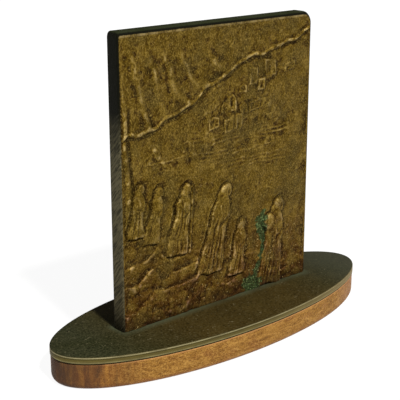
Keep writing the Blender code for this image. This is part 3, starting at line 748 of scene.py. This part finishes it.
def softened(values, cells):
    """The same grid of values with bumps narrower than some cells smoothed away."""
    reach = int(3 * cells)
    weights = bead(np.arange(-reach, reach + 1.0), cells)
    weights /= weights.sum()
    for axis in (0, 1):
        padded = np.pad(values, [(reach, reach) if side == axis else (0, 0) for side in (0, 1)], mode="edge")
        values = np.apply_along_axis(np.convolve, axis, padded, weights, mode="valid")
    return values


def half_width(z, corner):
    """From the picture's middle to its side at a height, where the corner above it rounds off."""
    over = max(z - PICTURE_HEIGHT + corner, 0.0)
    return PICTURE_WIDTH / 2 - corner + math.sqrt(max(corner ** 2 - over ** 2, 0.0))


def picture_grid():
    """Points over the picture in rows, narrower where the top corners round off."""
    columns = round(PICTURE_WIDTH / RELIEF_CELL)
    straight = PICTURE_HEIGHT - RIGHT_PICTURE_CORNER
    levels = list(np.linspace(0.0, straight, round(straight / RELIEF_CELL) + 1))
    for turn in np.linspace(0.0, math.pi / 2, CORNER_STEPS + 1)[1:]:
        levels.append(straight + RIGHT_PICTURE_CORNER * math.sin(turn))
    lefts = [-half_width(z, LEFT_PICTURE_CORNER) for z in levels]
    rights = [half_width(z, RIGHT_PICTURE_CORNER) for z in levels]
    x = np.linspace(lefts, rights, columns + 1, axis=1)
    z = np.repeat(np.array(levels)[:, None], columns + 1, axis=1)
    return x, z


def way_out(x, z, at_side):
    """Direction out of the picture's outline at one of its points, none along the foot."""
    corner = RIGHT_PICTURE_CORNER if x > 0.0 else LEFT_PICTURE_CORNER
    past_x, past_z = abs(x) - PICTURE_WIDTH / 2 + corner, z - PICTURE_HEIGHT + corner
    if at_side and past_z <= 0.0:
        return math.copysign(1.0, x), 0.0
    if z <= 0.0:
        return 0.0, 0.0
    if past_x <= 0.0:
        return 0.0, 1.0
    reach = math.hypot(past_x, past_z)
    return math.copysign(past_x, x) / reach, past_z / reach


def wear_and_shading_of(x, z, depth, covered):
    """How rubbed the picture is: 0 in its cuts, half on plain bronze, 1 on its sharpest edges; the darkening
    of its hollows is patina and painted shade, the lightening of its crests rubbing and painted highlight.
    """
    fine = depth - softened(depth, FINE_DETAIL / RELIEF_CELL)
    broad = depth - softened(depth, BROAD_DETAIL / RELIEF_CELL)
    # Crests lighten as rubbing and painted highlight, hollows darken as patina and painted shade
    rubbed = np.maximum(fine, 0.0) / 0.0009 + np.clip(broad, 0.0, 0.00040) / 0.0013
    hollow_and_shade = np.minimum(fine, 0.0) / 0.0006 + np.minimum(broad + 0.00008, 0.0) / 0.00045
    v = z / PICTURE_HEIGHT
    upland, lowland = ease((v - 0.52) / 0.06), ease((0.26 - v) / 0.10)
    hollow_and_shade = hollow_and_shade * (1.0 + 0.5 * upland)
    wear_and_shading = np.clip(0.5 + rubbed * (1.0 - 0.25 * covered) - 0.04 * covered + hollow_and_shade, 0.0, 1.0)
    on_roll = ease((0.0056 - x) / 0.0012) * ease((v - 0.36) / 0.04) * ease((0.84 - v) / 0.04)
    left_golden = 0.60 + 0.55 * waver(x, z, 0.0024, 53) + 0.35 * waver(x, z, 0.0011, 54)
    left_golden = left_golden + 0.14 * upland - 0.24 * on_roll + 0.07 * lowland
    return np.minimum(wear_and_shading, np.clip(left_golden, 0.50, 1.0) + 0.04)


def cast_slab():
    """The slab's mesh: the picture, rounded edges and a flat back, with how rubbed and how shaded it is kept
    as attributes.
    """
    x, z = picture_grid()
    rows, columns = x.shape
    depth, covered = relief(x + PICTURE_WIDTH / 2, z)
    points = np.dstack([x, FRONT_Y - depth, SLAB_LOW.z + z]).reshape(-1, 3)
    index = np.arange(rows * columns).reshape(rows, columns)
    faces = np.stack([index[:-1, :-1], index[:-1, 1:], index[1:, 1:], index[1:, :-1]], axis=-1).reshape(-1, 4)
    faces = faces.tolist()

    rim = np.concatenate([index[0], index[1:, -1], index[-1, -2::-1], index[-2:0:-1, 0]])
    flat_x, flat_z = x.ravel()[rim], z.ravel()[rim]
    at_side = (rim % columns == 0) | (rim % columns == columns - 1)
    way = np.array([way_out(*place) for place in zip(flat_x, flat_z, at_side)])
    loops = [rim]
    turns = list(np.linspace(0.0, math.pi / 2, ARC_STEPS + 1))
    side, top, back = SIDE_EDGE_ROUNDING, TOP_EDGE_ROUNDING, BACK_EDGE_ROUNDING
    rings = [(turn, side, top, FRONT_Y, 1.0) for turn in turns[1:]]
    rings += [(turn, back, back, SLAB_HIGH.y, -1.0) for turn in reversed(turns)]
    for turn, round_side, round_top, face_y, inward in rings:
        drop = round_side * way[:, 0] ** 2 + round_top * way[:, 1] ** 2
        drop = np.where(drop == 0.0, round_side, drop)
        ring_x = flat_x + way[:, 0] * (side + (math.sin(turn) - 1.0) * round_side)
        ring_z = flat_z + way[:, 1] * (top + (math.sin(turn) - 1.0) * round_top)
        ring_y = face_y + inward * (1.0 - math.cos(turn)) * drop
        loops.append(len(points) + np.arange(len(rim)))
        points = np.concatenate([points, np.stack([ring_x, ring_y, SLAB_LOW.z + ring_z], axis=1)])
    for inner, outer in zip(loops, loops[1:]):
        faces += np.stack([inner, outer, np.roll(outer, -1), np.roll(inner, -1)], axis=-1).tolist()
    faces.append(loops[-1].tolist())

    mesh = bpy.data.meshes.new("cast_relief_slab")
    mesh.from_pydata(points.tolist(), [], faces)
    mesh.update()
    builder = bmesh.new()
    builder.from_mesh(mesh)
    bmesh.ops.recalc_face_normals(builder, faces=builder.faces)
    builder.to_mesh(mesh)
    builder.free()
    mesh.shade_smooth()
    mesh.set_sharp_from_angle(angle=math.radians(60))

    across = x + PICTURE_WIDTH / 2
    marks = {
        "wear_and_shading": wear_and_shading_of(across, z, depth, covered),
        "picture": np.ones_like(x),
        "verdigris": verdigris(across, z),
    }
    for name, values in marks.items():
        layer = mesh.attributes.new(name, "FLOAT", "POINT")
        kept = np.zeros(len(points), np.float32)
        kept[:values.size] = values.ravel()
        layer.data.foreach_set("value", kept)
    slab = bpy.data.objects.new("cast_relief_slab", mesh)
    bpy.context.collection.objects.link(slab)
    return slab


def attribute(tree, name):
    """One of the marks that cast_slab keeps on the mesh, from 0 to 1."""
    return add(tree, "ShaderNodeAttribute", attribute_name=name).outputs["Fac"]


def picture_gold(tree, place, height, speckle, clouds):
    """The picture's colour: golden where it is rubbed and dark in its hollows, partly painted highlight and
    shade, redder and grimy at its foot, with painted glints.
    """
    smears = noise(tree, place, 0.0060, 4.0, 0.58, 0.3)
    # Hollows are painted dark and crests golden: patina and rubbing, and also painted shade and painted
    # highlight
    golden = ramp(tree, attribute(tree, "wear_and_shading"), *PICTURE_COLOURS)
    golden = mix(tree, ramp(tree, smears, (0.37, 0.50), (0.51, 0.0)), golden, BROWN_SMEAR)
    golden = mix(tree, ramp(tree, smears, (0.53, 0.0), (0.65, 0.45)), golden, GOLDEN_SMEAR)
    golden = mix(tree, ramp(tree, clouds, (0.38, 0.55), (0.54, 0.0)), golden, OLIVE_CLOUD)
    golden = mix(tree, ramp(tree, speckle, (0.36, 0.80), (0.50, 0.0)), golden, BROWN_SPECKLE)
    golden = mix(tree, ramp(tree, speckle, (0.52, 0.0), (0.66, 0.62)), golden, GOLDEN_SPECKLE)
    low = fade(tree, height, SLAB_LOW.z + 0.050, SLAB_LOW.z + 0.003)
    redness = math_node(tree, "MULTIPLY", low, ramp(tree, smears, (0.40, 1.0), (0.60, 0.25)))
    golden = mix(tree, redness, golden, RED_TINT, "MULTIPLY")
    grime = fade(tree, height, SLAB_LOW.z + 0.009, SLAB_LOW.z + 0.001, 0.45)
    golden = mix(tree, grime, golden, FOOT_GRIME)
    glints = ramp(tree, noise(tree, place, 0.0011, 2.0, 0.6), (0.66, 0.0), (0.71, 0.9))
    glints = math_node(tree, "MULTIPLY", glints, math_node(tree, "ADD", 0.25, low))
    golden = mix(tree, glints, golden, SPARKLE)
    picture_top = SLAB_LOW.z + PICTURE_HEIGHT
    arris = math_node(tree, "MULTIPLY", fade(tree, height, picture_top - 0.0008, picture_top - 0.0003),
                      ramp(tree, smears, (0.40, 0.12), (0.58, 0.45)))
    return mix(tree, arris, golden, BRIGHT_ARRIS)


def edge_patina_and_painted_light(tree, depth, height, speckle, clouds, scratches):
    """The dark colour of the sides, the back and the top face, each with its own marks; the sides also carry
    a painted reflection of the floor and painted shade at their foot.
    """
    # Painted reflection of the pale floor: lighter low on the sides, black near the top
    sides = ramp(tree, fade(tree, height, 0.045, 0.124), *SIDE_PATINA_AND_PAINTED_REFLECTION)
    # Painted shade along the sides' foot beside the plate
    sides = mix(tree, fade(tree, height, SLAB_LOW.z + 0.012, SLAB_LOW.z + 0.002, 0.85), sides, PAINTED_SHADE_AT_SIDE_FOOT)
    sides = mix(tree, ramp(tree, scratches, (0.40, 0.75), (0.56, 0.0)), sides, BLACK_SCRATCH)
    filed = math_node(tree, "MULTIPLY", ramp(tree, scratches, (0.60, 0.0), (0.74, 0.45)),
                      fade(tree, height, 0.130, 0.112))
    sides = mix(tree, filed, sides, FILED_METAL)
    brushed = noise(tree, place_on(tree, (2.2, 1.0, 1.0), (0.0, 0.5, 0.0)), 0.0030, 5.0, 0.70, 0.6)
    back = ramp(tree, clouds, *BACK_COLOURS)
    back = mix(tree, ramp(tree, brushed, (0.36, 0.45), (0.50, 0.0)), back, BACK_DARK_SMEAR)
    back = mix(tree, ramp(tree, brushed, (0.53, 0.0), (0.66, 0.35)), back, BACK_LIGHT_SMEAR)
    back = mix(tree, ramp(tree, speckle, (0.36, 0.6), (0.50, 0.0)), back, BACK_SPECKLE)
    back = mix(tree, ramp(tree, scratches, (0.58, 0.0), (0.72, 0.5)), back, BACK_SCRATCH)
    patina = mix(tree, fade(tree, depth, SLAB_HIGH.y - 0.0009, SLAB_HIGH.y - 0.0002), sides, back)
    facing = add(tree, "ShaderNodeNewGeometry").outputs["Normal"]
    _, _, upward = add(tree, "ShaderNodeSeparateXYZ", {0: facing}).outputs
    top_face = ramp(tree, clouds, *TOP_COLOURS)
    top_face = mix(tree, ramp(tree, speckle, (0.36, 0.6), (0.50, 0.0)), top_face, TOP_SPECKLE)
    return mix(tree, fade(tree, upward, 0.60, 0.90), patina, top_face)


def relief_bronze():
    """Golden bronze on the picture with painted shade and highlight in its hollows and on its crests,
    verdigris in one cut, black-green patina on the edges and back, with painted reflection and shade on the
    sides.
    """
    finish, tree, shader = new_finish("golden relief bronze")
    place = place_on(tree)
    _, depth, height = add(tree, "ShaderNodeSeparateXYZ", {0: place}).outputs
    speckle = noise(tree, place_on(tree, (1.0, 1.0, 1.5)), 0.00055, 3.0, 0.72)
    clouds = noise(tree, place, 0.014, 4.0, 0.6, 0.4)
    scratches = noise(tree, place_on(tree, (1.0, 1.0, 9.0), (0.75, 0.0, 0.0)), 0.0007, 3.0, 0.65)
    golden = picture_gold(tree, place, height, speckle, clouds)
    # The edges' colour includes a painted reflection and painted shade on the sides
    patina = edge_patina_and_painted_light(tree, depth, height, speckle, clouds, scratches)
    picture = attribute(tree, "picture")
    ragged = math_node(tree, "ADD", picture, math_node(tree, "MULTIPLY", speckle, 0.6))
    colour = mix(tree, ramp(tree, ragged, (0.70, 0.0), (1.0, 1.0)), patina, golden)
    crust = math_node(tree, "MULTIPLY", attribute(tree, "verdigris"),
                      ramp(tree, speckle, (0.36, 0.35), (0.54, 1.0)))
    crust = ramp(tree, crust, (0.38, 0.0), (0.62, 0.92))
    green_coat = ramp(tree, noise(tree, place, 0.0011, 3.0, 0.78), *VERDIGRIS_COLOURS)
    tree.links.new(mix(tree, crust, colour, green_coat), shader.inputs["Base Color"])
    golden_share = math_node(tree, "MULTIPLY", picture, 0.35)
    metal = math_node(tree, "MULTIPLY", math_node(tree, "SUBTRACT", 1.0, crust),
                      math_node(tree, "ADD", golden_share, 0.2))
    tree.links.new(metal, shader.inputs["Metallic"])
    bare = ramp(tree, attribute(tree, "wear_and_shading"), (0.2, 0.66), (0.8, 0.46))
    tree.links.new(mix(tree, crust, bare, (0.9, 0.9, 0.9)), shader.inputs["Roughness"])
    shader.inputs["Specular IOR Level"].default_value = 0.04
    grain = math_node(tree, "ADD", speckle, math_node(tree, "MULTIPLY", scratches, 0.4))
    bump = add(tree, "ShaderNodeBump", {"Height": grain, "Strength": 0.70, "Distance": 0.0005})
    tree.links.new(bump.outputs[0], shader.inputs["Normal"])
    return finish


slab = cast_slab()
slab.data.materials.append(relief_bronze())
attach(slab, "root")
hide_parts("relief_slab")


# Studio
# A pale floor that shines a little, in a room that is dim as a light but pale behind the plaque.
# The main light comes from in front of the picture, high up and a little from its left, and weak soft
# lights stand at the left and behind. The camera looks down on the left front corner.

FLOOR_SIZE = 6.0
FLOOR_GREY = 0.12
FLOOR_SHINE = 0.93
ROOM_LIGHT = 0.08
ROOM_BRIGHTNESS = 1.1
CAMERA_PLACE = Vector((-0.3349, -0.3680, 0.2041 + PLATE_HIGH.z))
CAMERA_AIM = Vector((0.63252, 0.71757, -0.29155))
CAMERA_UP = Vector((0.19334, 0.21823, 0.95656))
FOCAL_LENGTH_PIXELS = 1042.4
PICTURE_PIXELS = 400
SENSOR_WIDTH = 36.0


def turned_to(aim, up):
    """Rotation of a camera or lamp that looks along aim."""
    back = -aim.normalized()
    right = up.cross(back).normalized()
    return Matrix((right, back.cross(right), back)).transposed().to_4x4()


def lamp(kind, place, power, colour, **settings):
    """A light that shines from its place towards the middle of the slab."""
    light = bpy.data.lights.new("studio light", kind)
    light.energy = power
    light.color = colour
    for key, value in settings.items():
        setattr(light, key, value)
    stand = bpy.data.objects.new("studio light", light)
    middle = Vector((0.0, 0.0, (SLAB_LOW.z + SLAB_HIGH.z) / 2))
    stand.matrix_world = Matrix.Translation(place) @ turned_to(middle - place, Vector((0.0, 0.0, 1.0)))
    bpy.context.collection.objects.link(stand)


floor_mesh = bpy.data.meshes.new("floor")
half_floor = FLOOR_SIZE / 2
corners = [(half_floor * x, half_floor * y, 0.0) for x, y in ((-1, -1), (1, -1), (1, 1), (-1, 1))]
floor_mesh.from_pydata(corners, [], [(0, 1, 2, 3)])
floor = bpy.data.objects.new("floor", floor_mesh)
bpy.context.collection.objects.link(floor)
floor_finish, _, floor_shader = new_finish("pale floor")
floor_shader.inputs["Base Color"].default_value = (FLOOR_GREY, FLOOR_GREY, FLOOR_GREY, 1.0)
floor_shader.inputs["Emission Color"].default_value = (1.0, 1.0, 1.0, 1.0)
floor_shader.inputs["Emission Strength"].default_value = FLOOR_SHINE
floor_shader.inputs["Roughness"].default_value = 0.9
floor_mesh.materials.append(floor_finish)

lamp("SUN", Vector((-0.18, -1.00, 1.20)), 4.3, (1.0, 0.985, 0.96), angle=math.radians(6))
lamp("AREA", Vector((-1.30, -0.20, 0.22)), 1.3, (1.0, 1.0, 1.0), size=0.8)
lamp("AREA", Vector((-0.55, 1.20, 0.50)), 2.2, (1.0, 1.0, 1.0), size=0.8)

world = bpy.data.worlds.new("soft room")
world.use_nodes = True
world.node_tree.nodes["Background"].inputs["Color"].default_value = (1.0, 0.99, 0.97, 1.0)
seen = add(world.node_tree, "ShaderNodeLightPath").outputs["Is Camera Ray"]
brightness = add(world.node_tree, "ShaderNodeMapRange", {0: seen, 3: ROOM_LIGHT, 4: ROOM_BRIGHTNESS})
world.node_tree.links.new(brightness.outputs[0], world.node_tree.nodes["Background"].inputs["Strength"])
bpy.context.scene.world = world
bpy.context.scene.view_settings.view_transform = "Standard"

lens = bpy.data.cameras.new("camera")
lens.sensor_width = SENSOR_WIDTH
lens.lens = SENSOR_WIDTH * FOCAL_LENGTH_PIXELS / PICTURE_PIXELS
lens.clip_start = 0.01
camera = bpy.data.objects.new("camera", lens)
camera.matrix_world = Matrix.Translation(CAMERA_PLACE) @ turned_to(CAMERA_AIM, CAMERA_UP)
bpy.context.collection.objects.link(camera)
bpy.context.scene.camera = camera
